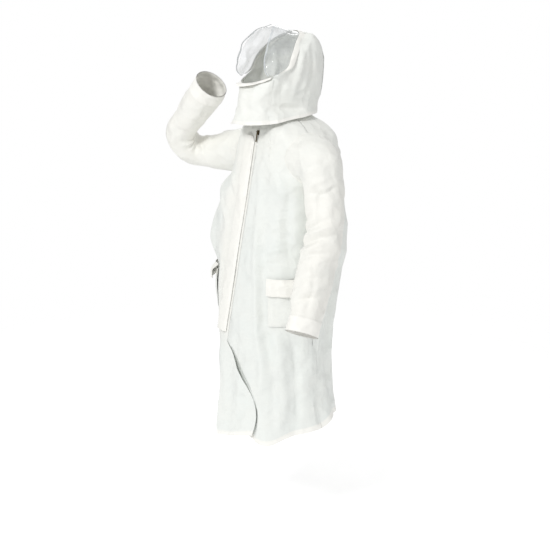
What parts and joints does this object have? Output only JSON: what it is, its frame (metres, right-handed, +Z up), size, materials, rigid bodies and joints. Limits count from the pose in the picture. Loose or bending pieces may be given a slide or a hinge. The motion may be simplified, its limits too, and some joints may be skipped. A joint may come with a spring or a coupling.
{
  "type": "hooded protective coat",
  "caption": "Knee-length hooded coat with face guard, clear visor, front zip under a placket, flap pockets; one sleeve raised, one hanging.",
  "frame": {"origin": "middle of the neck opening, where the coat rests on neck and shoulders", "axes": "+Z up, the coat faces -Y, the wearer's left is +X"},
  "size_m": [0.8141, 0.4171, 1.3089],
  "materials": {
    "coat_sheet": "thin crisp nonwoven, slightly translucent, matt with a faint sheen",
    "turned_hem": "double layer of the same nonwoven, stitched",
    "clear_film": "clear soft vinyl film, creased and glossy",
    "zip_tape": "woven tape",
    "zip_coil": "nylon coil",
    "zip_metal": "dark antique brass",
    "hook_and_loop": "hook-and-loop pile"
  },
  "bodies": {
    "coat": {"front_panel_left": "coat_sheet", "front_panel_right": "coat_sheet", "back_panel": "coat_sheet", "hem_strip_left": "turned_hem", "hem_strip_right": "turned_hem", "hem_strip_back": "turned_hem", "stand_collar": "coat_sheet", "neck_seam_band": "turned_hem", "zip_tape_left": "zip_tape", "zip_tape_right": "zip_tape", "zip_coil_left": "zip_coil", "zip_coil_right": "zip_coil", "zip_top_stop_left": "zip_metal", "zip_top_stop_right": "zip_metal", "zip_bottom_box": "zip_metal", "pocket_left": "coat_sheet", "pocket_right": "coat_sheet", "front_hook_patch_1": "hook_and_loop", "front_hook_patch_2": "hook_and_loop", "front_hook_patch_3": "hook_and_loop"},
    "hood": {"hood_side_left": "coat_sheet", "hood_side_right": "coat_sheet", "hood_centre_strip": "coat_sheet", "face_guard": "coat_sheet", "guard_hem": "turned_hem", "visor_film": "clear_film", "visor_edge_hem": "clear_film", "visor_binding": "turned_hem"},
    "placket": {"storm_placket": "coat_sheet", "placket_loop_patch_1": "hook_and_loop", "placket_loop_patch_2": "hook_and_loop", "placket_loop_patch_3": "hook_and_loop"},
    "slider": {"zip_slider": "zip_metal"},
    "puller": {"zip_puller": "zip_metal"},
    "flap_left": {"pocket_flap_left": "coat_sheet", "flap_loop_patch_left": "hook_and_loop"},
    "flap_right": {"pocket_flap_right": "coat_sheet", "flap_loop_patch_right": "hook_and_loop"},
    "upper_arm_left": {"upper_sleeve_left": "coat_sheet"},
    "upper_arm_right": {"upper_sleeve_right": "coat_sheet"},
    "forearm_left": {"lower_sleeve_left": "coat_sheet", "cuff_hem_left": "turned_hem"},
    "forearm_right": {"lower_sleeve_right": "coat_sheet", "cuff_hem_right": "turned_hem"}
  },
  "joints": [
    {"name": "hood_fold_back", "type": "hinge", "parent": "coat", "child": "hood", "pos_m": [0, 0.1, 0.002], "axis": [-1, 0, 0], "range_deg": [0, 95]},
    {"name": "placket_open", "type": "hinge", "parent": "coat", "child": "placket", "pos_m": [-0.06135, -0.15248, -0.33476], "axis": [-0.036, -0.1617, -0.9862], "range_deg": [0, 150]},
    {"name": "zip_slide", "type": "slide", "parent": "coat", "child": "slider", "axis": [-0.036, -0.1617, -0.9862], "range_m": [0, 0.625]},
    {"name": "puller_swing", "type": "hinge", "parent": "slider", "child": "puller", "pos_m": [0.01175, -0.10299, -0.04843], "axis": [-0.9994, 0.0058, 0.0355], "range_deg": [0, 150]},
    {"name": "pocket_flap_left_lift", "type": "hinge", "parent": "coat", "child": "flap_left", "pos_m": [0.1909, -0.1016, -0.4912], "axis": [-0.5878, -0.809, 0], "range_deg": [0, 50]},
    {"name": "pocket_flap_right_lift", "type": "hinge", "parent": "coat", "child": "flap_right", "pos_m": [-0.2149, -0.11904, -0.4912], "axis": [-0.5878, 0.809, 0], "range_deg": [0, 80]},
    {"name": "shoulder_left_swing", "type": "hinge", "parent": "coat", "child": "upper_arm_left", "pos_m": [0.2, -0.008, -0.128], "axis": [-1, 0, 0], "range_deg": [-20, 30]},
    {"name": "shoulder_right_swing", "type": "hinge", "parent": "coat", "child": "upper_arm_right", "pos_m": [-0.2, -0.008, -0.128], "axis": [-1, 0, 0], "range_deg": [-28, 20]},
    {"name": "elbow_left_bend", "type": "hinge", "parent": "upper_arm_left", "child": "forearm_left", "pos_m": [0.292, -0.1065, -0.33], "axis": [-0.9657, 0, -0.2597], "range_deg": [0, 60]},
    {"name": "elbow_right_open", "type": "hinge", "parent": "upper_arm_right", "child": "forearm_right", "pos_m": [-0.41404, -0.17753, -0.13071], "axis": [0.5629, -0.6478, -0.5133], "range_deg": [0, 60]}
  ]
}
